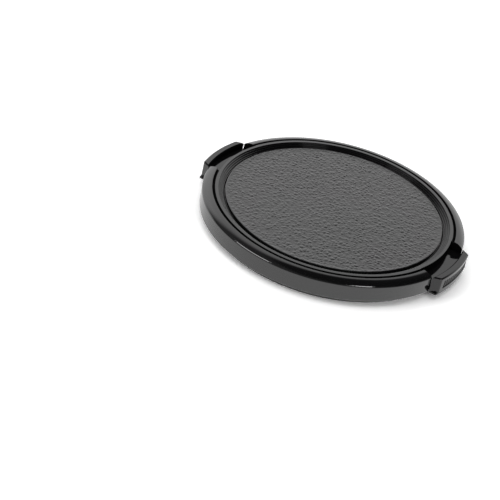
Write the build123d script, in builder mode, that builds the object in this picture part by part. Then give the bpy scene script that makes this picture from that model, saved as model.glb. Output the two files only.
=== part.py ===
"""Side-pinch lens cap with two sprung latches, lying on its back with the front face up.

The skirt's edge lies on the table at Z = 0, the latches slide along X, sizes in mm.
"""
import os
from math import asin, cos, degrees, radians, sin, sqrt

from build123d import *

os.makedirs("parts", exist_ok=True)

# Lens thread that the latches catch in
thread_d = 77.0
thread_pitch = 0.75
thread_share = 0.5413  # depth of an inner thread, of its pitch
thread_crest_r = thread_d / 2 - thread_share * thread_pitch

# Front face, from the outer edge inwards
rim_over = 1.5  # rim's edge beyond the thread's radius
rim_wall_h = 4.9  # seat to the rim's outer edge
rim_w = 2.9  # breadth of the domed rim
rim_drop = 1.14  # fall of the dome towards the edge
rim_edge = 0.4  # bevel on the rim's outer edge
rim_foot = 0.25  # bevel at its foot
groove_w = 0.8
groove_depth = 0.6
groove_draft = 0.08
ring_w = 1.05
step_count = 4
step_w = 0.475
step_h = 0.29
moat_w = 0.775  # groove round the disc, at the foot of the steps
disc_rise = 0.46  # grained disc above the moat's floor
face_t = 1.5

# Back plate and its skirt
skirt_depth = 2.3
skirt_t = 1.3
skirt_clear = 0.3  # skirt to the thread's crests
skirt_lead = 0.4
plate_t = 1.0
plate_fit = 0.05
ledge_w = 0.8  # step in the rim that the plate seats on

# Latches
travel = 2.0
slot_w = 20.8
slot_inset = 0.15  # slot's inner wall inside the ring's outer edge
slide_gap = 0.15  # running clearance of the slider
tab_gap = 0.2  # grip to the slot's ends
stop_gap = 0.1
grip_gap = 0.15  # grip's inner face beyond the rim
grip_t = 2.15
grip_rise = 0.3  # grip's top above the rim's edge
grip_drop = 0.25  # grip's foot below the rim's seat
grip_taper = 0.45
grip_corner_r = 0.9
grip_edge = 0.35  # bevel round the grip's top
grip_foot_t = 0.45  # square-ended foot under the grip
neck_t = 0.9
neck_sink = 0.6  # neck's top below the underside of the face
neck_side = 0.07  # neck inside the grip's ends
neck_root = 0.04  # neck into the grip
neck_reach = 6.4  # rim's edge to the neck's shoulders
slider_inset = 3.4  # slot's end to the slider's side
runner_t = 1.6
hook_reach = 1.2  # stop hooks past the slider's sides
hook_t = 2.0
tooth_inset = 1.8  # slot's end to the latch wall's end
tooth_wall_t = 1.2
tooth_lift = 0.3  # latch wall's lower edge above the skirt's
tooth_bite = 0.3  # ridge tips beyond the thread's crests
tooth_count = 2
tooth_end = 0.4
ridge_share = 0.577  # half a ridge's height, of its reach
ridge_lift = 0.12  # lowest ridge above the wall's foot
notch_gap = 0.4

# Ribbed recess in the grips
recess_depth = 0.6
recess_brow = 1.35
recess_lip = 1.5
recess_end = 1.1
rib_count = 13
rib_r = 0.4

# Guide rails inside the front, coil springs and the pegs that hold them
rail_len = 7.5
rail_t = 1.2
spring_len = 5.5
spring_wire_r = 0.2
wire_sides = 6  # flats on the wire's section
spring_turns = 5.0
spring_gap = 0.07
peg_gap = 0.2
peg_len = 1.1
spring_wall_t = 1.2
spring_wall_w = 4.4

# Staked posts that hold the back plate
post_inset = 10.0  # rim's edge to the posts
post_r = 1.3
boss_r = 2.4
stake_r = 2.2
stake_h = 0.45

# Radii and heights that follow
rim_r = thread_d / 2 + rim_over
rim_in = rim_r - rim_w
ring_out = rim_in - groove_w
ring_in = ring_out - ring_w
moat_out = ring_in - (step_count - 1) * step_w
disc_r = moat_out - moat_w
skirt_r = thread_crest_r - skirt_clear
plate_seat_r = skirt_r + plate_fit
cavity_r = plate_seat_r - ledge_w
z_seat = skirt_depth
z_edge = z_seat + rim_wall_h
z_ring = z_edge + rim_drop
z_moat = z_ring - step_count * step_h
z_disc = z_moat + disc_rise
z_face_under = z_disc - face_t
z_plate = z_seat + plate_t
z_slider = z_plate + slide_gap
z_runner = z_face_under - slide_gap
z_neck = z_face_under - neck_sink - neck_t
z_grip = z_seat - grip_drop

# Places along and across the slide
slider_half = slot_w / 2 - slider_inset
rail_y = slider_half + slide_gap
shoulder_x = rim_r - neck_reach
rail_out = shoulder_x - travel - stop_gap
rail_in = rail_out - rail_len
hook_x = rail_in - stop_gap
latch_end_x = hook_x - hook_t
spring_wall_x = latch_end_x - spring_len
z_spring = (z_slider + z_runner) / 2
spring_r = (z_runner - z_slider) / 2 - spring_wire_r - spring_gap
peg_r = spring_r - spring_wire_r - peg_gap
post_ring_r = rim_r - post_inset
grip_in = rim_r + grip_gap
grip_out = grip_in + grip_t
grip_half = slot_w / 2 - tab_gap
grip_h = z_edge + grip_rise - z_grip
grip_corner_x = sqrt(grip_in**2 - grip_half**2)
neck_half = grip_half - neck_side
tooth_half = slot_w / 2 - tooth_inset
tooth_in = skirt_r - tooth_wall_t
tooth_tip_r = thread_crest_r + tooth_bite
notch_half = tooth_half + notch_gap
notch_x = sqrt(tooth_in**2 - tooth_half**2) - travel - notch_gap


def grip_end_y(x):
    """Half the grip's width at a distance x along the slide: its ends run together outwards."""
    return grip_half - grip_taper * (x - grip_corner_x)


# Front shell: rim, ring, terraced band and disc in one moulding
with BuildPart() as front_shell:
    with BuildSketch(Plane.XZ) as section:
        with BuildLine():
            face = Polyline(
                (0, z_face_under),
                (0, z_disc),
                (disc_r, z_disc),
                (disc_r, z_moat),
            )
            stair = [face @ 1]
            for step in range(step_count):
                riser_r = moat_out + step * step_w
                tread_z = z_moat + step * step_h
                stair.append((riser_r, tread_z))
                stair.append((riser_r, tread_z + step_h))
            Polyline(*stair)
            crown = Polyline(
                stair[-1],
                (ring_out, z_ring),
                (ring_out + groove_draft, z_ring - groove_depth),
                (rim_in - groove_draft, z_ring - groove_depth),
                (rim_in, z_ring),
            )
            dome = TangentArc(crown @ 1, (rim_r, z_edge), tangent=(1, 0))
            Polyline(
                dome @ 1,
                (rim_r, z_seat),
                (plate_seat_r, z_seat),
                (plate_seat_r, z_plate),
                (cavity_r, z_plate),
                (cavity_r, z_face_under),
                (0, z_face_under),
            )
        make_face()
        chamfer(section.vertices().sort_by_distance((rim_r, z_edge))[0], rim_edge)
        chamfer(section.vertices().sort_by_distance((rim_r, z_seat))[0], rim_foot)
    revolve(axis=Axis.Z)
    # Slots that the grips travel in
    with BuildSketch(Plane.XY.offset(z_seat)):
        Rectangle(2 * grip_out, slot_w)
        Circle(ring_out - slot_inset, mode=Mode.SUBTRACT)
    extrude(amount=z_ring, mode=Mode.SUBTRACT)
    # Rails that the sliders run between
    with BuildSketch(Plane.XY.offset(z_plate)):
        with GridLocations(rail_in + rail_out, 2 * rail_y + rail_t, 2, 2):
            Rectangle(rail_len, rail_t)
    extrude(amount=z_face_under - z_plate)
    # Walls that the springs push against, with their pegs
    with BuildSketch(Plane.XY.offset(z_plate)):
        with GridLocations(2 * spring_wall_x - spring_wall_t, 0, 2, 1):
            Rectangle(spring_wall_t, spring_wall_w)
    extrude(amount=z_face_under - z_plate)
    with BuildSketch(Plane.YZ.offset(spring_wall_x)):
        with Locations((0, z_spring)):
            Circle(peg_r)
    extrude(amount=peg_len)
    with BuildSketch(Plane.YZ.offset(-spring_wall_x)):
        with Locations((0, z_spring)):
            Circle(peg_r)
    extrude(amount=-peg_len)
    # Bosses that the back plate seats on, and the posts staked through it
    with BuildSketch(Plane.XY.offset(z_plate)):
        with PolarLocations(post_ring_r, 4, start_angle=45):
            Circle(boss_r)
    extrude(amount=z_face_under - z_plate)
    with BuildSketch(Plane.XY.offset(z_plate)):
        with PolarLocations(post_ring_r, 4, start_angle=45):
            Circle(post_r)
    extrude(amount=-plate_t)
    with BuildSketch(Plane.XY.offset(z_seat)):
        with PolarLocations(post_ring_r, 4, start_angle=45):
            Circle(stake_r)
    extrude(amount=stake_h)

# Back plate with the skirt that enters the thread, cut away where the latches work
with BuildPart() as back_plate:
    with BuildSketch(Plane.XZ):
        with BuildLine():
            Polyline(
                (0, z_plate),
                (skirt_r, z_plate),
                (skirt_r, skirt_lead),
                (skirt_r - skirt_lead, 0),
                (skirt_r - skirt_t, 0),
                (skirt_r - skirt_t, z_seat),
                (0, z_seat),
                (0, z_plate),
            )
        make_face()
    revolve(axis=Axis.Z)
    with BuildSketch():
        with GridLocations(notch_x + grip_out, 0, 2, 1):
            Rectangle(grip_out - notch_x, 2 * notch_half)
    extrude(amount=z_plate, mode=Mode.SUBTRACT)
    with BuildSketch(Plane.XY.offset(z_seat)):
        with PolarLocations(post_ring_r, 4, start_angle=45):
            Circle(post_r + plate_fit)
    extrude(amount=plate_t, mode=Mode.SUBTRACT)
    with BuildSketch(Plane.XY.offset(z_seat)):
        with PolarLocations(post_ring_r, 4, start_angle=45):
            Circle(stake_r + plate_fit)
    extrude(amount=stake_h, mode=Mode.SUBTRACT)

# Latch: grip, neck, slider with its stop hooks, and the ridged wall that catches the thread
with BuildPart() as latch_right:
    with BuildSketch(Plane.XY.offset(z_grip)):
        Circle(grip_out)
        Circle(grip_in, mode=Mode.SUBTRACT)
        Polygon(
            (notch_x, -grip_end_y(notch_x)),
            (grip_out, -grip_end_y(grip_out)),
            (grip_out, grip_end_y(grip_out)),
            (notch_x, grip_end_y(notch_x)),
            align=None,
            mode=Mode.INTERSECT,
        )
    extrude(amount=grip_h)
    fillet(latch_right.edges().filter_by(Axis.Z).group_by(Axis.X)[-1], grip_corner_r)
    chamfer(latch_right.edges().group_by(Axis.Z)[-1], grip_edge)
    with BuildSketch(Plane.XY.offset(z_grip)):
        Circle(grip_out)
        Circle(grip_in, mode=Mode.SUBTRACT)
        with Locations((grip_out, 0)):
            Rectangle(grip_out, 2 * grip_half, mode=Mode.INTERSECT)
    extrude(amount=grip_foot_t)
    # Recess with upright ribs for the fingertip
    recess_r = grip_out - recess_depth
    recess_half = grip_end_y(grip_out) - recess_end
    recess_h = grip_h - recess_lip - recess_brow
    rib_step = degrees(2 * recess_half / rib_count / recess_r)
    with BuildSketch(Plane.XY.offset(z_grip + recess_lip)):
        Circle(grip_out + recess_depth)
        Circle(recess_r, mode=Mode.SUBTRACT)
        with Locations((grip_out, 0)):
            Rectangle(2 * grip_t, 2 * recess_half, mode=Mode.INTERSECT)
    extrude(amount=recess_h, mode=Mode.SUBTRACT)
    with BuildSketch(Plane.XY.offset(z_grip + recess_lip)):
        first_rib = -rib_step * (rib_count - 1) / 2
        with PolarLocations(recess_r, rib_count, first_rib, rib_step * rib_count):
            Circle(rib_r)
    extrude(amount=recess_h)
    # Neck through the slot, and the slider between the rails
    with BuildSketch(Plane.XY.offset(z_neck)):
        with Locations(((shoulder_x + grip_out) / 2, 0)):
            Rectangle(grip_out - shoulder_x, 2 * neck_half)
        Circle(grip_in + neck_root, mode=Mode.INTERSECT)
        with Locations(((hook_x + shoulder_x) / 2, 0)):
            Rectangle(shoulder_x - hook_x, 2 * slider_half)
    extrude(amount=neck_t)
    with BuildSketch(Plane.XY.offset(z_slider)):
        with Locations(((hook_x + shoulder_x) / 2, 0)):
            with GridLocations(0, 2 * slider_half - runner_t, 1, 2):
                Rectangle(shoulder_x - hook_x, runner_t)
        with Locations((hook_x - hook_t / 2, 0)):
            Rectangle(hook_t, 2 * (slider_half + hook_reach))
    extrude(amount=z_runner - z_slider)
    # Peg that the spring sits on
    with BuildSketch(Plane.YZ.offset(latch_end_x)):
        with Locations((0, z_spring)):
            Circle(peg_r)
    extrude(amount=-peg_len)
    # Wall that reaches into the thread
    with BuildSketch(Plane.XY.offset(tooth_lift)):
        Circle(skirt_r)
        Circle(tooth_in, mode=Mode.SUBTRACT)
        with Locations((skirt_r, 0)):
            Rectangle(skirt_r, 2 * tooth_half, mode=Mode.INTERSECT)
    extrude(amount=z_neck - tooth_lift)
    # Ridges that catch behind the thread's crests
    ridge_half = (tooth_tip_r - skirt_r) * ridge_share
    ridge_turn = asin((tooth_half - tooth_end) / tooth_tip_r)
    ridge_plane = Plane(
        origin=(0, 0, tooth_lift),
        x_dir=(cos(ridge_turn), -sin(ridge_turn), 0),
        z_dir=(-sin(ridge_turn), -cos(ridge_turn), 0),
    )
    with BuildSketch(ridge_plane):
        for ridge in range(tooth_count):
            ridge_z = ridge_half + ridge_lift + ridge * thread_pitch
            Polygon(
                (skirt_r - tooth_wall_t / 2, ridge_z - ridge_half),
                (skirt_r, ridge_z - ridge_half),
                (tooth_tip_r, ridge_z),
                (skirt_r, ridge_z + ridge_half),
                (skirt_r - tooth_wall_t / 2, ridge_z + ridge_half),
                align=None,
            )
    revolve(axis=Axis.Z, revolution_arc=2 * degrees(ridge_turn))

with BuildPart() as latch_left:
    add(latch_right.part, rotation=(0, 0, 180))

# Coil springs between the walls and the latches
coil_len = spring_len - 2 * spring_wire_r
with BuildPart() as spring_right:
    with BuildLine() as coil:
        Helix(
            pitch=coil_len / spring_turns,
            height=coil_len,
            radius=spring_r,
            center=(spring_wall_x + spring_wire_r, 0, z_spring),
            direction=(1, 0, 0),
        )
    with BuildSketch(Plane(origin=coil.line @ 0, z_dir=coil.line % 0)):
        RegularPolygon(spring_wire_r, wire_sides)
    sweep(path=coil.line, is_frenet=True)

with BuildPart() as spring_left:
    add(spring_right.part, rotation=(0, 0, 180))

front_shell.part.label = "front_shell"
back_plate.part.label = "back_plate"
latch_right.part.label = "latch_right"
latch_left.part.label = "latch_left"
spring_right.part.label = "spring_right"
spring_left.part.label = "spring_left"

export_step(front_shell.part, "parts/front_shell.step")
export_step(back_plate.part, "parts/back_plate.step")
export_step(latch_right.part, "parts/latch_right.step")
export_step(latch_left.part, "parts/latch_left.step")
export_step(spring_right.part, "parts/spring_right.step")
export_step(spring_left.part, "parts/spring_left.step")
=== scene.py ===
"""Looks of a side-pinch lens cap: its mouldings, latches and springs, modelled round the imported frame."""
import math
from types import SimpleNamespace

import bmesh
import bpy
from bpy.props import FloatProperty, FloatVectorProperty, IntProperty, PointerProperty
from mathutils import Matrix, Vector, noise


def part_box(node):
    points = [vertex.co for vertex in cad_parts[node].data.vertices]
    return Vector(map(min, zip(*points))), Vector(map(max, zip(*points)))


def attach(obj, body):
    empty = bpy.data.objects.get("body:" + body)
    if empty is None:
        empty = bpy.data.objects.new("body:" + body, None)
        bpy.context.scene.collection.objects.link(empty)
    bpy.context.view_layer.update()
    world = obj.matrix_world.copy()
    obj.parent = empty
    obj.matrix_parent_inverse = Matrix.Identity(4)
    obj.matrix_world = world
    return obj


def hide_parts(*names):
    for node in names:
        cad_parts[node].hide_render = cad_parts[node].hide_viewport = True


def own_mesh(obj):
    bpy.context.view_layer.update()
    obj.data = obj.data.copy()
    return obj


bl_info = {
    "name": "Side-pinch lens cap",
    "version": (1, 0, 0),
    "blender": (4, 5, 0),
    "location": "View3D > Sidebar > Lens cap",
    "description": "Models a lens cap with a grained face, sprung latches and coil springs",
    "category": "Add Mesh",
}

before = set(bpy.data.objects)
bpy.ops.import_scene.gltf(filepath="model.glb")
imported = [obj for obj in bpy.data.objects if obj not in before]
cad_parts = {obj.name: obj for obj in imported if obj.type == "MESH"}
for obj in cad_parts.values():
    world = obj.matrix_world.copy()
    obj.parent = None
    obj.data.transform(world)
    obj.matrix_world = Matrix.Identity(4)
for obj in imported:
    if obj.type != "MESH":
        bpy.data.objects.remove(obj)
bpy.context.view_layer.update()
shell_low, shell_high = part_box("front_shell")
plate_low, plate_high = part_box("back_plate")
spring_low, spring_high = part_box("spring_right")

MM = 0.001
PICTURE_SIDE = 500  # pixels along each side of the picture
SENSOR = 36.0  # camera sensor's width in mm
NEAR = 1e-7  # metres within which two places are the same
MERGE = 10 * NEAR  # metres within which neighbouring vertices become one
FLAT = math.radians(0.5)  # angle up to which neighbouring faces become one
SUNK = 0.1 * MM  # how far a part reaches into the one that carries it

# Faces of a round part
DOME_STEPS = 12
BAR_SIDES = 48
WIRE_SIDES = 12
COIL_STEPS = 32

# Where the front's section bends, as shares of its sizes
BROW_SHARE = 1.3  # of the rim's edge rounding, from the edge to the dome's end
BED_SHARE = 0.25  # of the hairline gap, level with the bed

# Least or greatest part of a face's normal along an axis that counts as steep, level or facing it
STEEP = 0.3
LEVEL = 0.8
FACING = 0.5

# Material slots of the shell and the latches, after the polished plastic in the first
# After the grain come painted shade in the slots, grooves and hairline, then painted shade on the terraces
GRAINED, PAINTED_SHADE, TERRACE_SHADE = 1, 2, 3
# Slot of the painted shade on a latch's inner faces
LATCH_PAINTED_SHADE = 1

# Skins of the plastics: scale of the noise, and depth
POLISHED_SKIN = (5000.0, 0.004 * MM)
GRAINED_SKIN = (3500.0, 0.012 * MM)
# Skin of the plastic that is painted shade in the slots, grooves and latches' inner faces
PAINTED_SHADE_SKIN = (3000.0, 0.01 * MM)
BACK_SKIN = (3000.0, 0.02 * MM)

GLOSS_SPREAD = 0.5  # of the roughness, by which it varies
DARK_MARK = 0.8  # of the wire's colour, in its marks

GRAIN_SEED = 1  # for the draw that bends the grain, the same on each run

# The grain, in pebbles
BEND_SIZE = 1.6
BEND = 0.45
CREASE = 0.6
DOME_REACH = 0.75
FINE_SCALE = 3
PEBBLE_SHARE, DOME_SHARE, FINE_SHARE = 0.45, 0.45, 0.1

# The backdrop: its tone by height, its lean to the right and what is left of it on the camera's side
BACKDROP_LOW = 1.15
BACKDROP_TONES = ((0.35, 1.15), (0.6, 0.82), (0.76, 0.8), (0.86, 0.03))
BACKDROP_TOP = 0.02
BACKDROP_LEAN = 0.5
CAMERA_SIDE = dict(From_Min=0.25, From_Max=0.6, To_Min=0.12)


def length(name, description, default):
    """A size that a user may change, in metres."""
    return FloatProperty(name=name, description=description, default=default, unit="LENGTH", precision=5)


def angle(name, description, degrees):
    """An angle that a user may change, shown in degrees."""
    return FloatProperty(name=name, description=description, default=math.radians(degrees), subtype="ANGLE")


def number(name, description, default):
    """A plain number that a user may change."""
    return FloatProperty(name=name, description=description, default=default, min=0)


def bearing(name, description, default):
    """A direction from the cap that a user may change."""
    return FloatVectorProperty(
        name=name, description=description, default=default, size=3, subtype="DIRECTION"
    )


def share(name, description, default):
    """A value from 0 to 1."""
    return FloatProperty(name=name, description=description, default=default, min=0, max=1, subtype="FACTOR")


def colour(name, description, default):
    """A linear colour that a user may change."""
    return FloatVectorProperty(
        name=name, description=description, default=default, size=3, min=0, max=1, subtype="COLOR"
    )


class LensCapShell(bpy.types.PropertyGroup):
    """Sizes of the front moulding, from its outer edge inwards."""

    rim_width: length("Rim width", "Breadth of the domed rim", 2.86 * MM)
    rim_drop: length("Rim drop", "Fall of the dome towards its edge", 1.14 * MM)
    rim_edge: length("Rim edge", "Rounding of the rim's outer edge", 0.35 * MM)
    rim_foot: length("Rim foot", "Rounding of its foot", 0.25 * MM)
    groove_width: length("Groove width", "Gap between the rim and the ring", 0.88 * MM)
    groove_depth: length("Groove depth", "Depth of that gap", 0.6 * MM)
    groove_draft: length("Groove draft", "Lean of the groove's walls", 0.08 * MM)
    ring_width: length("Ring width", "Breadth of the flat ring", 1.01 * MM)
    step_count: IntProperty(name="Steps", description="Terraces down to the disc", default=4, min=1)
    step_width: length("Step width", "Tread of a terrace", 0.475 * MM)
    step_height: length("Step height", "Riser of a terrace", 0.38 * MM)
    # Polished nose strips stay bright between the terraces' painted shade
    step_nose: length("Step nose", "Polished strip along a terrace's edge", 0.2 * MM)
    moat_width: length("Moat width", "Groove round the disc", 0.775 * MM)
    disc_rise: length("Disc rise", "Disc above the groove round it", 0.82 * MM)
    disc_edge: length("Disc edge", "Fall of the disc's top at its edge", 0.08 * MM)
    disc_bevel: length("Disc bevel", "Bevel round the disc", 0.07 * MM)
    face_thickness: length("Face thickness", "Wall behind the disc", 1.5 * MM)
    nose_edge: length("Nose edge", "Rounding of a terrace's nose", 0.08 * MM)
    crisp_edge: length("Crisp edge", "Rounding of the fine edges", 0.03 * MM)
    hairline_width: length("Hairline width", "Narrow gap between the disc and its bed", 0.42 * MM)
    hairline_depth: length("Hairline depth", "Depth of that gap below the bed", 0.35 * MM)
    slot_width: length("Slot width", "Gap in the rim for a grip", 20.5 * MM)
    # Painted shade: this strip of the rim's wall beside a slot is near black and hardly reflects
    slot_shade: length("Slot shade", "Unpolished strip of the wall beside a slot", 0.6 * MM)
    slot_inset: length("Slot inset", "Slot's inner wall inside the ring's edge", 0.15 * MM)
    ledge_width: length("Ledge width", "Ledge that the back plate lies on", 0.8 * MM)
    plate_fit: length("Plate fit", "Gap round the back plate", 0.05 * MM)
    grain_size: length("Grain size", "Breadth of a pebble of the grain", 1.15 * MM)
    grain_height: length("Grain height", "Height of a pebble above the creases", 0.135 * MM)
    grain_cells: IntProperty(name="Grain cells", description="Faces across the disc", default=260, min=8)
    facets: IntProperty(name="Facets", description="Faces round a quarter of the rim", default=64, min=8)


class LensCapMechanism(bpy.types.PropertyGroup):
    """Sizes of what the front moulding has inside: rails, spring walls and staked posts."""

    rail_end: length("Rail end", "Outer end of a rail from the middle", 31.5 * MM)
    rail_length: length("Rail length", "Length of a rail", 7.5 * MM)
    rail_side: length("Rail side", "Rail's inner face from the middle", 7.15 * MM)
    rail_thickness: length("Rail thickness", "Thickness of a rail", 1.2 * MM)
    wall_thickness: length("Wall thickness", "Thickness of a spring wall", 1.2 * MM)
    wall_width: length("Wall width", "Width of a spring wall", 4.4 * MM)
    peg_radius: length("Peg radius", "Peg inside a spring", 0.6 * MM)
    peg_length: length("Peg length", "Reach of that peg", 1.1 * MM)
    post_inset: length("Post inset", "Posts inside the rim's edge", 10 * MM)
    boss_radius: length("Boss radius", "Boss that the plate lies on", 2.4 * MM)
    stake_radius: length("Stake radius", "Head of a staked post", 2.2 * MM)
    stake_height: length("Stake height", "Thickness of that head", 0.45 * MM)
    post_radius: length("Post radius", "Post through the plate", 1.3 * MM)


class LensCapEdges(bpy.types.PropertyGroup):
    """Rounding of the edges of the latches and the back plate."""

    latch: length("Latch edge", "Rounding of a latch's edges", 0.08 * MM)
    plate: length("Plate edge", "Rounding of the plate's edges", 0.08 * MM)
    corner: angle("Corner", "Angle from which an edge is rounded", 32)


class LensCapSpring(bpy.types.PropertyGroup):
    """Sizes of the coil springs."""

    wire_radius: length("Wire radius", "Half the wire's thickness", 0.2 * MM)
    turns: IntProperty(name="Turns", description="Turns of each coil", default=5, min=1)
    pressed: share("Pressed", "Length of a spring under a pressed latch, of its length at rest", 3.5 / 5.5)


class LensCapFinish(bpy.types.PropertyGroup):
    """Colours and gloss of the plastics and the wire, with a near black plastic that hardly reflects as
    painted shade.
    """

    front: colour("Front", "Plastic of the front moulding", (0.005, 0.005, 0.0052))
    front_ior: number("Front IOR", "Refraction of the front's plastic", 1.8)
    latch: colour("Latches", "Plastic of the latches", (0.005, 0.005, 0.0052))
    latch_ior: number("Latch IOR", "Refraction of the latches' plastic", 1.6)
    back: colour("Back", "Plastic of the back plate", (0.014, 0.014, 0.0145))
    back_ior: number("Back IOR", "Refraction of the back plate's plastic", 1.5)
    # Painted shade: near black plastic that hardly reflects, in the slots, grooves and hairline and on the
    # latches' inner faces
    shade_colour: colour("Hidden faces", "Unpolished plastic in the slots and grooves", (0.003, 0.003, 0.0031))
    shade_ior: number("Hidden IOR", "Refraction of that plastic, which hardly reflects", 1.05)
    # Painted shade: the terraces reflect less than the rest of the front
    terrace_shade_ior: number("Terrace IOR", "Refraction of the terraces' satin faces", 1.42)
    steel: colour("Steel", "Spring wire", (0.55, 0.54, 0.52))
    gloss: share("Gloss roughness", "Roughness of the polished mouldings", 0.06)
    grain: share("Grain roughness", "Roughness of the grained disc", 0.23)
    satin: share("Satin roughness", "Roughness of the terraces", 0.1)
    matt: share("Matt roughness", "Roughness of the back plate", 0.45)
    dull: share("Dull roughness", "Roughness of the slots and grooves", 0.6)


class LensCapStage(bpy.types.PropertyGroup):
    """Camera, lamps and floor."""

    lens: number("Lens", "Focal length in mm", 115.2)
    distance: length("Distance", "Camera to the disc's centre", 478.36 * MM)
    azimuth: angle("Azimuth", "Camera's turn from the front", 21.85)
    elevation: angle("Elevation", "Camera above the disc's plane", 31.06)
    roll: angle("Roll", "Camera's lean to one side", 14.472)
    aim_x: number("Aim X", "Pixel column of the disc's centre", 334.40)
    aim_y: number("Aim Y", "Pixel row of the disc's centre", 206.48)
    floor_size: length("Floor size", "Side of the floor", 1.0)
    floor: colour("Floor", "Pale floor", (0.86, 0.86, 0.86))
    floor_white: number("Floor white", "How much whiter the floor is to the camera", 1.8)
    ceiling_from: bearing("Ceiling from", "Where the broad lamp above stands", (-0.1, -0.15, 1))
    ceiling_power: number("Ceiling power", "Watts of that lamp", 5.0)
    ceiling_size: length("Ceiling size", "Side of that lamp", 1.2)
    ceiling_distance: length("Ceiling distance", "That lamp to the cap", 0.8)
    key_from: bearing("Key from", "Where the soft lamp at the left stands", (-0.53, -0.67, 0.5))
    key_power: number("Key power", "Watts of that lamp", 0.9)
    key_size: length("Key size", "Side of that lamp", 0.28)
    fill_from: bearing("Fill from", "Where the soft lamp at the right stands", (0.725, -0.456, 0.515))
    fill_power: number("Fill power", "Watts of that lamp", 0.9)
    fill_size: length("Fill size", "Side of that lamp", 0.24)
    lamp_distance: length("Lamp distance", "The left and right lamps to the cap", 0.6)


def add_node(tree, kind, settings=None, **inputs):
    """Adds a shader node with its settings, and values for its inputs by name, spaces as underscores."""
    made = tree.nodes.new("ShaderNode" + kind)
    for key, value in (settings or {}).items():
        setattr(made, key, value)
    for key, value in inputs.items():
        made.inputs[key.replace("_", " ")].default_value = value
    return made


def moulding_skin():
    """Node group of a moulded surface: a fine skin as height, and gloss that varies a little."""
    tree = bpy.data.node_groups.new("moulding_skin", "ShaderNodeTree")
    tree.interface.new_socket("Skin Scale", in_out="INPUT", socket_type="NodeSocketFloat")
    tree.interface.new_socket("Roughness", in_out="INPUT", socket_type="NodeSocketFloat")
    tree.interface.new_socket("Spread", in_out="INPUT", socket_type="NodeSocketFloat")
    tree.interface.new_socket("Roughness", in_out="OUTPUT", socket_type="NodeSocketFloat")
    tree.interface.new_socket("Height", in_out="OUTPUT", socket_type="NodeSocketFloat")
    given = tree.nodes.new("NodeGroupInput")
    put = tree.nodes.new("NodeGroupOutput")
    place = add_node(tree, "TexCoord")
    cloud = add_node(tree, "TexNoise", Scale=160.0, Detail=3.0, Roughness=0.6)
    skin = add_node(tree, "TexNoise", Detail=2.0, Roughness=0.5)
    centred = add_node(tree, "Math", {"operation": "SUBTRACT"})
    centred.inputs[1].default_value = 0.5
    spread = add_node(tree, "Math", {"operation": "MULTIPLY_ADD"})
    link = tree.links.new
    link(place.outputs["Object"], cloud.inputs["Vector"])
    link(place.outputs["Object"], skin.inputs["Vector"])
    link(given.outputs["Skin Scale"], skin.inputs["Scale"])
    link(cloud.outputs["Fac"], centred.inputs[0])
    link(centred.outputs[0], spread.inputs[0])
    link(given.outputs["Spread"], spread.inputs[1])
    link(given.outputs["Roughness"], spread.inputs[2])
    link(spread.outputs[0], put.inputs["Roughness"])
    link(skin.outputs["Fac"], put.inputs["Height"])
    return tree


def new_material(name):
    """An empty node material with a Principled shader, and its tree."""
    made = bpy.data.materials.new(name)
    made.use_nodes = True
    return made, made.node_tree, made.node_tree.nodes["Principled BSDF"]


def black_plastic(name, colour_value, ior, roughness, texture):
    """Black moulded plastic with a fine skin, given by its scale and depth."""
    skin_scale, skin_depth = texture
    made, tree, shader = new_material(name)
    shader.inputs["Base Color"].default_value = (*colour_value, 1)
    shader.inputs["IOR"].default_value = ior
    skin = tree.nodes.new("ShaderNodeGroup")
    skin.node_tree = bpy.data.node_groups.get("moulding_skin") or moulding_skin()
    skin.inputs["Skin Scale"].default_value = skin_scale
    skin.inputs["Roughness"].default_value = roughness
    skin.inputs["Spread"].default_value = GLOSS_SPREAD * roughness
    bump = add_node(tree, "Bump", Strength=1.0, Distance=skin_depth)
    tree.links.new(skin.outputs["Roughness"], shader.inputs["Roughness"])
    tree.links.new(skin.outputs["Height"], bump.inputs["Height"])
    tree.links.new(bump.outputs["Normal"], shader.inputs["Normal"])
    return made


def spring_wire(name, colour_value):
    """Bright drawn wire with fine marks."""
    made, tree, shader = new_material(name)
    shader.inputs["Metallic"].default_value = 1.0
    place = add_node(tree, "TexCoord")
    marks = add_node(tree, "TexNoise", Scale=9000.0, Detail=2.0)
    gloss = add_node(tree, "MapRange", To_Min=0.2, To_Max=0.42)
    tint = add_node(tree, "Mix", {"data_type": "RGBA"})
    tint.inputs["A"].default_value = (*(DARK_MARK * c for c in colour_value), 1)
    tint.inputs["B"].default_value = (*colour_value, 1)
    tree.links.new(place.outputs["Object"], marks.inputs["Vector"])
    tree.links.new(marks.outputs["Fac"], gloss.inputs["Value"])
    tree.links.new(marks.outputs["Fac"], tint.inputs["Factor"])
    tree.links.new(gloss.outputs["Result"], shader.inputs["Roughness"])
    tree.links.new(tint.outputs["Result"], shader.inputs["Base Color"])
    return made


def finish_piece(bm, name, materials, body, node, corner):
    """Makes the mesh an object that rides on a body and stands for a node of the frame."""
    for edge in bm.edges:
        edge.smooth = edge.calc_face_angle(0) < corner
    mesh = bpy.data.meshes.new(name)
    bm.to_mesh(mesh)
    bm.free()
    if "custom_normal" in mesh.attributes:
        mesh.attributes.remove(mesh.attributes["custom_normal"])
    for material in materials:
        mesh.materials.append(material)
    piece = bpy.data.objects.new(name, mesh)
    bpy.context.scene.collection.objects.link(piece)
    evened = piece.modifiers.new("even_normals", "WEIGHTED_NORMAL")
    evened.keep_sharp = True
    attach(piece, body)
    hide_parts(node)
    return piece


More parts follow.
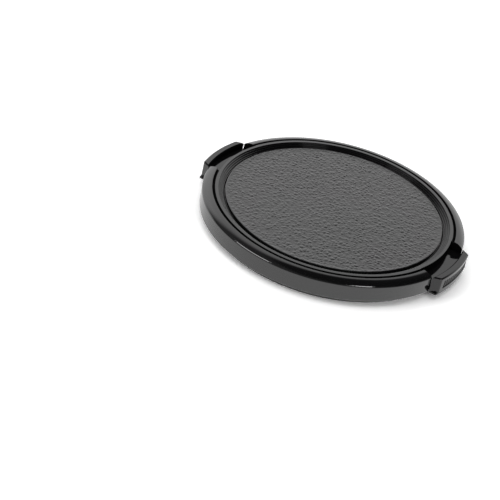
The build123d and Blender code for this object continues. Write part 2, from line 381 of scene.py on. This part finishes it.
def shell_levels(shell):
    """Radii and heights of the front moulding, worked out from its sizes."""
    at = SimpleNamespace()
    at.rim = shell_high.y
    at.rim_in = at.rim - shell.rim_width
    at.ring_out = at.rim_in - shell.groove_width
    at.ring_in = at.ring_out - shell.ring_width
    at.moat = at.ring_in - (shell.step_count - 1) * shell.step_width
    at.disc = at.moat - shell.moat_width
    at.slot = at.ring_out - shell.slot_inset
    at.seat = plate_high.y + shell.plate_fit
    at.cavity = at.seat - shell.ledge_width
    at.ring_z = shell_high.z
    at.edge_z = at.ring_z - shell.rim_drop
    at.moat_z = at.ring_z - shell.step_count * shell.step_height
    at.disc_z = at.moat_z + shell.disc_rise
    at.under_z = at.disc_z - shell.face_thickness
    at.seat_z = shell_low.z
    at.plate_z = plate_high.z
    return at


def lay_wire(bm, points, start=None):
    """Edges through points of radius and height, on from a vertex where one is given."""
    verts = [start] if start else []
    verts += [bm.verts.new((radius, 0, height)) for radius, height in points]
    for pair in zip(verts, verts[1:]):
        bm.edges.new(pair)
    return verts


def round_corners(bm, corners, edge):
    """Rounds corners of a wire."""
    bmesh.ops.bevel(
        bm, geom=corners, offset=edge, offset_type="OFFSET", affect="VERTICES",
        segments=3, profile=0.5, material=-1
    )


def front_wire(bm, shell, at):
    """Wire over the disc's bed, the terraces and the ring, as far as the slots' inner wall."""
    bed = at.moat_z - shell.hairline_depth
    gap = shell.hairline_width
    points = [(0, bed), (at.disc + BED_SHARE * gap, bed), (at.disc + gap, at.moat_z)]
    for step in range(shell.step_count):
        riser = at.moat + step * shell.step_width
        tread = at.moat_z + step * shell.step_height
        top = tread + shell.step_height
        points += [(riser, tread), (riser, top), (riser + shell.step_nose, top)]
    points.append((at.slot, at.ring_z))
    wire = lay_wire(bm, points)
    feet = [vert for place, vert in enumerate(wire[2:-1]) if place == 0 or place % 3 == 1]
    noses = [vert for place, vert in enumerate(wire[2:-1]) if place % 3 == 2]
    round_corners(bm, feet, shell.crisp_edge)
    round_corners(bm, noses, shell.nose_edge)
    return wire[-1]


def rim_wire(bm, shell, at):
    """Section of the front moulding through its rim: over the top, down the wall and back underneath."""
    inner = front_wire(bm, shell, at)
    foot = at.ring_z - shell.groove_depth
    groove = [
        (at.ring_out, at.ring_z),
        (at.ring_out + shell.groove_draft, foot),
        (at.rim_in - shell.groove_draft, foot),
        (at.rim_in, at.ring_z),
    ]
    groove = lay_wire(bm, groove, inner)[1:]
    dome_r = (shell.rim_width ** 2 + shell.rim_drop ** 2) / (2 * shell.rim_drop)
    sweep = math.asin((shell.rim_width - BROW_SHARE * shell.rim_edge) / dome_r)
    middle = (at.rim_in, 0, at.ring_z - dome_r)
    dome = bmesh.ops.spin(
        bm, geom=[groove[-1]], cent=middle, axis=(0, 1, 0), angle=sweep, steps=DOME_STEPS
    )
    brow = next(part for part in dome["geom_last"] if isinstance(part, bmesh.types.BMVert))
    back = [
        (at.rim, at.edge_z),
        (at.rim, at.seat_z),
        (at.seat, at.seat_z),
        (at.seat, at.plate_z),
        (at.cavity, at.plate_z),
        (at.cavity, at.under_z),
        (at.slot, at.under_z),
        (0, at.under_z),
    ]
    outer = lay_wire(bm, back, brow)
    round_corners(bm, groove, shell.crisp_edge)
    round_corners(bm, outer[1:2], shell.rim_edge)
    round_corners(bm, outer[2:3], shell.rim_foot)


def slot_wire(bm, shell, at):
    """Section of the front moulding through a slot, where the rim is cut away."""
    inner = front_wire(bm, shell, at)
    lay_wire(bm, [(at.slot, at.under_z), (0, at.under_z)], inner)


def wire_parts(bm):
    """Vertices and edges of a wire that has no faces yet."""
    edges = [edge for edge in bm.edges if edge.is_wire]
    return list(dict.fromkeys(vert for edge in edges for vert in edge.verts)), edges


def turned_to(vert, turn):
    """Place of a vertex turned about the axis, by its angle from X."""
    radius = vert.co.xy.length
    return Vector((radius * math.cos(turn), radius * math.sin(turn), vert.co.z))


def shell_quarter(bm, shell, at):
    """A quarter of the front moulding: the rim's section swept to the slot's end, then the slot, with
    painted shade in its slots, grooves and hairline and on its terraces.
    """
    half = shell.slot_width / 2
    slot_end = math.asin(half / at.slot)
    step = math.pi / 2 / shell.facets
    rim_wire(bm, shell, at)
    verts, edges = wire_parts(bm)
    for vert in verts:
        vert.co = turned_to(vert, math.asin(half / max(vert.co.x, at.slot)))
    outside = [edge for edge in edges if min(vert.co.xy.length for vert in edge.verts) > at.slot - NEAR]
    ends = [vert for vert in verts if abs(vert.co.xy.length - at.slot) < NEAR]
    wall = bm.edges.new(ends)
    bmesh.ops.contextual_create(bm, geom=outside + [wall])
    swept = bmesh.ops.extrude_edge_only(bm, edges=edges)["geom"]
    first = slot_end + step
    for part in swept:
        if isinstance(part, bmesh.types.BMVert):
            part.co = turned_to(part, first)
    section = [part for part in swept if not isinstance(part, bmesh.types.BMFace)]
    rest = math.pi / 2 - first
    spin = dict(cent=(0, 0, 0), axis=(0, 0, 1))
    bmesh.ops.spin(bm, geom=section, angle=rest, steps=round(rest / step), **spin)
    slot_wire(bm, shell, at)
    verts, edges = wire_parts(bm)
    bmesh.ops.spin(bm, geom=verts + edges, angle=slot_end, steps=round(slot_end / step), **spin)
    bmesh.ops.remove_doubles(bm, verts=bm.verts, dist=MERGE)
    # Painted shade runs this far along the rim's wall beside each slot; the cut marks where it ends
    mouth = half + shell.slot_shade
    whole = bm.verts[:] + bm.edges[:] + bm.faces[:]
    bmesh.ops.bisect_plane(bm, geom=whole, dist=NEAR, plane_co=(0, mouth, 0), plane_no=(0, 1, 0))
    bm.normal_update()
    risers = [at.moat + place * shell.step_width for place in range(shell.step_count)]
    for face in bm.faces:
        middle = face.calc_center_median()
        radius = middle.xy.length
        front = middle.z > at.under_z + NEAR
        beside_slot = middle.y < mouth and radius > at.slot - shell.crisp_edge
        cut = beside_slot and abs(face.normal.z) < STEEP
        groove = front and at.ring_out < radius < at.rim_in
        hairline = front and at.disc < radius < at.disc + shell.hairline_width
        on_nose = any(-NEAR < radius - riser < shell.step_nose for riser in risers)
        nose = on_nose and face.normal.z > LEVEL
        shaded_band = front and at.disc < radius < at.ring_in and not nose
        # Painted shade: slot walls, the groove and the hairline take the near black plastic
        if cut or groove or hairline:
            face.material_index = PAINTED_SHADE
        # Painted shade: the terraces, except for their polished noses, reflect less
        elif shaded_band:
            face.material_index = TERRACE_SHADE


def block(bm, low, high):
    """A box between two corners."""
    low, high = Vector(low), Vector(high)
    place = Matrix.Translation((low + high) / 2) @ Matrix.Diagonal((*(high - low), 1))
    bmesh.ops.create_cube(bm, size=1, matrix=place)


def round_bar(bm, radius, start, end):
    """A round bar between two points."""
    start, end = Vector(start), Vector(end)
    along = end - start
    place = Matrix.Translation((start + end) / 2) @ along.to_track_quat("Z", "Y").to_matrix().to_4x4()
    bmesh.ops.create_cone(
        bm, cap_ends=True, segments=BAR_SIDES, radius1=radius, radius2=radius,
        depth=along.length, matrix=place
    )


def inner_works(bm, inside, at):
    """A quarter of the rails, spring walls and staked posts behind the face."""
    roof = at.under_z + SUNK
    rail_low = (inside.rail_end - inside.rail_length, inside.rail_side, at.plate_z)
    block(bm, rail_low, (inside.rail_end, inside.rail_side + inside.rail_thickness, roof))
    wall_x = spring_low.x
    wall_low = (wall_x - inside.wall_thickness, 0, at.plate_z)
    block(bm, wall_low, (wall_x, inside.wall_width / 2, roof))
    reach = (at.rim - inside.post_inset) * math.sqrt(0.5)
    round_bar(bm, inside.boss_radius, (reach, reach, at.plate_z), (reach, reach, roof))
    head = at.seat_z + inside.stake_height
    round_bar(bm, inside.post_radius, (reach, reach, (at.seat_z + head) / 2), (reach, reach, roof))
    round_bar(bm, inside.stake_radius, (reach, reach, at.seat_z), (reach, reach, head))


def grain(x, y, size):
    """Height of the disc's grain at a place, from 0 in a crease to 1 on a pebble."""
    bend = noise.noise_vector(Vector((x, y, 0)) / (BEND_SIZE * size))
    spot = Vector((x, y, 0)) / size + BEND * bend
    near, far = noise.voronoi(spot)[0][:2]
    swell = min(1, (far - near) / CREASE)
    pebble = swell * swell * (3 - 2 * swell)
    dome = 1 - min(1, near / DOME_REACH) ** 2
    fine = 0.5 + 0.5 * noise.noise(FINE_SCALE * spot)
    return PEBBLE_SHARE * pebble + DOME_SHARE * dome + FINE_SHARE * fine


def round_place(x, y):
    """Distance and bearing on the unit disc for a place on the unit square round it."""
    if abs(x) > abs(y):
        return x, math.pi / 4 * y / x
    return y, math.pi / 2 - math.pi / 4 * x / (y or 1)


def grained_disc(bm, shell, at):
    """The raised disc with its grain, let into its bed."""
    noise.seed_set(GRAIN_SEED)
    before = set(bm.faces)
    cells = shell.grain_cells
    grid = bmesh.ops.create_grid(bm, x_segments=cells, y_segments=cells, size=1)
    for vert in grid["verts"]:
        reach, turn = round_place(vert.co.x, vert.co.y)
        vert.co = (at.disc * reach * math.cos(turn), at.disc * reach * math.sin(turn), 0)
        inset = at.disc * (1 - abs(reach))
        calm = min(1, inset / shell.grain_size)
        low = shell.grain_height * (1 - grain(vert.co.x, vert.co.y, shell.grain_size))
        fall = shell.disc_edge if inset < NEAR else low * calm
        vert.co.z = at.disc_z - fall
    made = set(bm.faces) - before
    for face in made:
        face.material_index = GRAINED
    border = [edge for edge in bm.edges if edge.is_boundary]
    side = bmesh.ops.extrude_edge_only(bm, edges=border)["geom"]
    for part in side:
        if isinstance(part, bmesh.types.BMVert):
            part.co.z = at.moat_z - shell.hairline_depth - shell.crisp_edge
    lines = [part for part in side if isinstance(part, bmesh.types.BMEdge)]
    bmesh.ops.contextual_create(bm, geom=[line for line in lines if line.is_boundary])
    rims = [edge for edge in border if edge.is_valid]
    bmesh.ops.bevel(
        bm, geom=rims, offset=shell.disc_bevel, offset_type="OFFSET", affect="EDGES",
        segments=2, profile=0.5, material=-1, clamp_overlap=True
    )


def rounded_copy(node, edge, corner):
    """Mesh of a frame node, merged, with its edges rounded."""
    bm = bmesh.new()
    bm.from_mesh(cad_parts[node].data)
    bmesh.ops.remove_doubles(bm, verts=bm.verts, dist=NEAR)
    bmesh.ops.dissolve_limit(bm, angle_limit=FLAT, verts=bm.verts, edges=bm.edges)
    sharp = [line for line in bm.edges if line.is_manifold and line.calc_face_angle(0) > corner]
    bmesh.ops.bevel(
        bm, geom=sharp, offset=edge, offset_type="OFFSET", affect="EDGES",
        segments=2, profile=0.5, material=-1, clamp_overlap=True
    )
    return bm


class LENSCAP_OT_front_shell(bpy.types.Operator):
    """Models the front moulding with its domed rim, terraces, slots and grained disc"""

    bl_idname = "lenscap.front_shell"
    bl_label = "Front shell"

    def execute(self, context):
        scene = context.scene
        shell = scene.lens_cap_shell
        finish = scene.lens_cap_finish
        inside = scene.lens_cap_mechanism
        at = shell_levels(shell)
        bm = bmesh.new()
        shell_quarter(bm, shell, at)
        inner_works(bm, inside, at)
        for axis in "YX":
            whole = bm.verts[:] + bm.edges[:] + bm.faces[:]
            bmesh.ops.mirror(bm, geom=whole, axis=axis, matrix=Matrix(), merge_dist=MERGE)
        middle = (spring_low.z + spring_high.z) / 2
        for end in (1, -1):
            root = end * (spring_low.x - SUNK)
            round_bar(bm, inside.peg_radius, (root, 0, middle), (root + end * inside.peg_length, 0, middle))
        grained_disc(bm, shell, at)
        bmesh.ops.recalc_face_normals(bm, faces=bm.faces)
        front, ior = finish.front, finish.front_ior
        # The third plastic is painted shade for the slots, grooves and hairline; the fourth is painted shade
        # for the terraces
        plastics = (
            black_plastic("front_black", front, ior, finish.gloss, POLISHED_SKIN),
            black_plastic("grained_black", front, ior, finish.grain, GRAINED_SKIN),
            black_plastic("painted_shade_black", finish.shade_colour, finish.shade_ior, finish.dull, PAINTED_SHADE_SKIN),
            black_plastic("terrace_painted_shade", front, finish.terrace_shade_ior, finish.satin, POLISHED_SKIN),
        )
        corner = scene.lens_cap_edges.corner
        finish_piece(bm, "shell", plastics, "cap", "front_shell", corner)
        return {"FINISHED"}


class LENSCAP_OT_back_plate(bpy.types.Operator):
    """Models the back plate with rounded edges"""

    bl_idname = "lenscap.back_plate"
    bl_label = "Back plate"

    def execute(self, context):
        finish = context.scene.lens_cap_finish
        edges = context.scene.lens_cap_edges
        plastic = black_plastic("back_black", finish.back, finish.back_ior, finish.matt, BACK_SKIN)
        bm = rounded_copy("back_plate", edges.plate, edges.corner)
        finish_piece(bm, "plate", (plastic,), "cap", "back_plate", edges.corner)
        return {"FINISHED"}


class LENSCAP_OT_latches(bpy.types.Operator):
    """Models both latches with rounded edges and painted shade on their inner faces"""

    bl_idname = "lenscap.latches"
    bl_label = "Latches"

    def execute(self, context):
        finish = context.scene.lens_cap_finish
        edges = context.scene.lens_cap_edges
        # The second plastic is painted shade for the faces turned towards the cap's middle
        plastics = (
            black_plastic("latch_black", finish.latch, finish.latch_ior, finish.gloss, POLISHED_SKIN),
            black_plastic("latch_painted_shade", finish.shade_colour, finish.shade_ior, finish.dull, PAINTED_SHADE_SKIN),
        )
        for side in ("right", "left"):
            node = "latch_" + side
            bm = rounded_copy(node, edges.latch, edges.corner)
            inward = -1 if side == "right" else 1
            # Painted shade: faces turned towards the cap's middle take the near black plastic
            for face in bm.faces:
                if inward * face.normal.x > FACING:
                    face.material_index = LATCH_PAINTED_SHADE
            name, body = "grip_" + side, side + "_latch"
            finish_piece(bm, name, plastics, body, node, edges.corner)
        return {"FINISHED"}


class LENSCAP_OT_springs(bpy.types.Operator):
    """Winds the coil spring behind each latch"""

    bl_idname = "lenscap.springs"
    bl_label = "Springs"

    def execute(self, context):
        scene = context.scene
        spring = scene.lens_cap_spring
        steel = spring_wire("spring_steel", scene.lens_cap_finish.steel)
        middle = (spring_low.z + spring_high.z) / 2
        radius = (spring_high.z - spring_low.z) / 2 - spring.wire_radius
        steps = COIL_STEPS * spring.turns
        reach = spring_high.x - spring_low.x - 2 * spring.wire_radius
        for side, end in (("right", 1), ("left", -1)):
            bm = bmesh.new()
            start = Vector((end * (spring_low.x + spring.wire_radius), 0, middle + radius))
            across = Matrix.Translation(start) @ Matrix.Rotation(math.pi / 2, 4, "X")
            ring = bmesh.ops.create_circle(
                bm, segments=WIRE_SIDES, radius=spring.wire_radius, matrix=across
            )
            wire = ring["verts"]
            section = wire + list(dict.fromkeys(edge for vert in wire for edge in vert.link_edges))
            bmesh.ops.spin(
                bm, geom=section, cent=(0, 0, middle), axis=(1, 0, 0), dvec=(end * reach / steps, 0, 0),
                angle=2 * math.pi * spring.turns, steps=steps
            )
            bmesh.ops.holes_fill(bm, edges=[edge for edge in bm.edges if edge.is_boundary], sides=0)
            bmesh.ops.recalc_face_normals(bm, faces=bm.faces)
            name, node = "coil_" + side, "spring_" + side
            corner = scene.lens_cap_edges.corner
            coil = finish_piece(bm, name, (steel,), "cap", node, corner)
            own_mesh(coil)
        return {"FINISHED"}


def white_floor(colour_value, white):
    """Pale floor that keeps the cap's shadow, whiter to the camera and white in reflections."""
    made, tree, shader = new_material("pale_floor")
    shader.inputs["Roughness"].default_value = 0.9
    shader.inputs["Specular IOR Level"].default_value = 0.0
    shader.inputs["Emission Strength"].default_value = 1.0
    rays = add_node(tree, "LightPath")
    shown = add_node(tree, "Mix", {"data_type": "RGBA"})
    shown.inputs["A"].default_value = (*colour_value, 1)
    shown.inputs["B"].default_value = (*(c * white for c in colour_value), 1)
    lit = add_node(tree, "Mix", {"data_type": "RGBA"})
    lit.inputs["B"].default_value = (0, 0, 0, 1)
    tree.links.new(rays.outputs["Is Camera Ray"], shown.inputs["Factor"])
    tree.links.new(rays.outputs["Is Glossy Ray"], lit.inputs["Factor"])
    tree.links.new(shown.outputs["Result"], lit.inputs["A"])
    tree.links.new(lit.outputs["Result"], shader.inputs["Base Color"])
    tree.links.new(rays.outputs["Is Glossy Ray"], shader.inputs["Emission Color"])
    return made


def studio_world(azimuth):
    """White backdrop under a dark top, darker on the camera's side, plain white to the camera."""
    world = bpy.data.worlds.new("studio")
    world.use_nodes = True
    tree = world.node_tree
    background = tree.nodes["Background"]
    place = add_node(tree, "TexCoord")
    rise = add_node(tree, "VectorMath", {"operation": "DOT_PRODUCT"})
    rise.inputs[1].default_value = (
        BACKDROP_LEAN * math.cos(azimuth), BACKDROP_LEAN * math.sin(azimuth), 1
    )
    height = add_node(tree, "ValToRGB")
    ramp = height.color_ramp.elements
    ramp[0].color = (*[BACKDROP_LOW] * 3, 1)
    ramp[1].color = (*[BACKDROP_TOP] * 3, 1)
    for position, tone in BACKDROP_TONES:
        ramp.new(position).color = (*[tone] * 3, 1)
    behind = add_node(tree, "VectorMath", {"operation": "DOT_PRODUCT"})
    behind.inputs[1].default_value = (-math.sin(azimuth), math.cos(azimuth), 0)
    side = add_node(tree, "MapRange", {"interpolation_type": "SMOOTHSTEP"}, **CAMERA_SIDE)
    both = add_node(tree, "Math", {"operation": "MULTIPLY"})
    rays = add_node(tree, "LightPath")
    seen = add_node(tree, "Mix", {"data_type": "FLOAT"})
    seen.inputs["B"].default_value = 1.0
    link = tree.links.new
    link(place.outputs["Generated"], rise.inputs[0])
    link(place.outputs["Generated"], behind.inputs[0])
    link(rise.outputs["Value"], height.inputs["Fac"])
    link(behind.outputs["Value"], side.inputs["Value"])
    link(height.outputs["Color"], both.inputs[0])
    link(side.outputs["Result"], both.inputs[1])
    link(rays.outputs["Is Camera Ray"], seen.inputs["Factor"])
    link(both.outputs[0], seen.inputs["A"])
    link(seen.outputs["Result"], background.inputs["Strength"])
    background.inputs["Color"].default_value = (1, 1, 1, 1)
    return world


def soft_lamp(name, power, size, place, distance):
    """A square lamp at a bearing and a distance, which looks at the cap."""
    away = Vector(place)
    data = bpy.data.lights.new(name, "AREA")
    data.energy = power
    data.size = size
    lamp = bpy.data.objects.new(name, data)
    bpy.context.scene.collection.objects.link(lamp)
    lamp.location = away.normalized() * distance
    lamp.rotation_euler = away.to_track_quat("Z", "Y").to_euler()
    return lamp


def aim_camera(camera, stage, target):
    """Places the camera so that the target falls on its pixel of the picture."""
    turn = Matrix.Rotation(stage.azimuth, 3, "Z")
    ahead = turn @ Vector((0, math.cos(stage.elevation), -math.sin(stage.elevation)))
    right = turn @ Vector((1, 0, 0))
    up = right.cross(ahead)
    lean = Matrix.Rotation(-stage.roll, 3, ahead)
    focal = stage.lens / SENSOR * PICTURE_SIDE
    middle = PICTURE_SIDE / 2
    aim = Vector(((stage.aim_x - middle) / focal, (middle - stage.aim_y) / focal, 1)).normalized()
    aside = Vector((0, 0, 1)).rotation_difference(aim).to_matrix()
    axes = aside @ Matrix((lean @ right, lean @ up, ahead))
    pose = Matrix((axes[0], axes[1], -axes[2])).transposed().to_4x4()
    pose.translation = target - stage.distance * ahead
    camera.matrix_world = pose


class LENSCAP_OT_stage(bpy.types.Operator):
    """Lays the pale floor and sets up the soft light and the camera"""

    bl_idname = "lenscap.stage"
    bl_label = "Stage"

    def execute(self, context):
        scene = context.scene
        stage = scene.lens_cap_stage
        scene.view_settings.view_transform = "Standard"
        scene.world = studio_world(stage.azimuth)
        bm = bmesh.new()
        bmesh.ops.create_grid(bm, x_segments=1, y_segments=1, size=stage.floor_size / 2)
        mesh = bpy.data.meshes.new("floor")
        bm.to_mesh(mesh)
        bm.free()
        mesh.materials.append(white_floor(stage.floor, stage.floor_white))
        floor = bpy.data.objects.new("floor", mesh)
        scene.collection.objects.link(floor)
        ceiling = soft_lamp(
            "ceiling", stage.ceiling_power, stage.ceiling_size, stage.ceiling_from, stage.ceiling_distance
        )
        ceiling.visible_glossy = False
        away = stage.lamp_distance
        soft_lamp("key", stage.key_power, stage.key_size, stage.key_from, away)
        soft_lamp("fill", stage.fill_power, stage.fill_size, stage.fill_from, away)
        camera = bpy.data.objects.new("camera", bpy.data.cameras.new("camera"))
        camera.data.lens = stage.lens
        camera.data.sensor_width = SENSOR
        scene.collection.objects.link(camera)
        aim_camera(camera, stage, Vector((0, 0, shell_levels(scene.lens_cap_shell).disc_z)))
        scene.camera = camera
        return {"FINISHED"}


class LENSCAP_PT_panel(bpy.types.Panel):
    """Lists the operators for the cap's pieces and its stage"""

    bl_idname = "LENSCAP_PT_panel"
    bl_label = "Lens cap"
    bl_space_type = "VIEW_3D"
    bl_region_type = "UI"
    bl_category = "Lens cap"

    def draw(self, context):
        for operator in OPERATORS:
            self.layout.operator(operator.bl_idname)


GROUPS = {
    "lens_cap_shell": LensCapShell,
    "lens_cap_mechanism": LensCapMechanism,
    "lens_cap_edges": LensCapEdges,
    "lens_cap_spring": LensCapSpring,
    "lens_cap_finish": LensCapFinish,
    "lens_cap_stage": LensCapStage,
}
OPERATORS = (
    LENSCAP_OT_front_shell, LENSCAP_OT_back_plate, LENSCAP_OT_latches, LENSCAP_OT_springs, LENSCAP_OT_stage
)


def register():
    """Adds the sizes, the operators and the panel to Blender."""
    for name, group in GROUPS.items():
        bpy.utils.register_class(group)
        setattr(bpy.types.Scene, name, PointerProperty(type=group))
    for operator in OPERATORS:
        bpy.utils.register_class(operator)
    bpy.utils.register_class(LENSCAP_PT_panel)


def unregister():
    """Takes them away again."""
    bpy.utils.unregister_class(LENSCAP_PT_panel)
    for operator in reversed(OPERATORS):
        bpy.utils.unregister_class(operator)
    for name, group in reversed(GROUPS.items()):
        delattr(bpy.types.Scene, name)
        bpy.utils.unregister_class(group)


def main():
    """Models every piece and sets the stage."""
    register()
    bpy.ops.lenscap.front_shell()
    bpy.ops.lenscap.back_plate()
    bpy.ops.lenscap.latches()
    bpy.ops.lenscap.springs()
    bpy.ops.lenscap.stage()


if __name__ == "__main__":
    main()
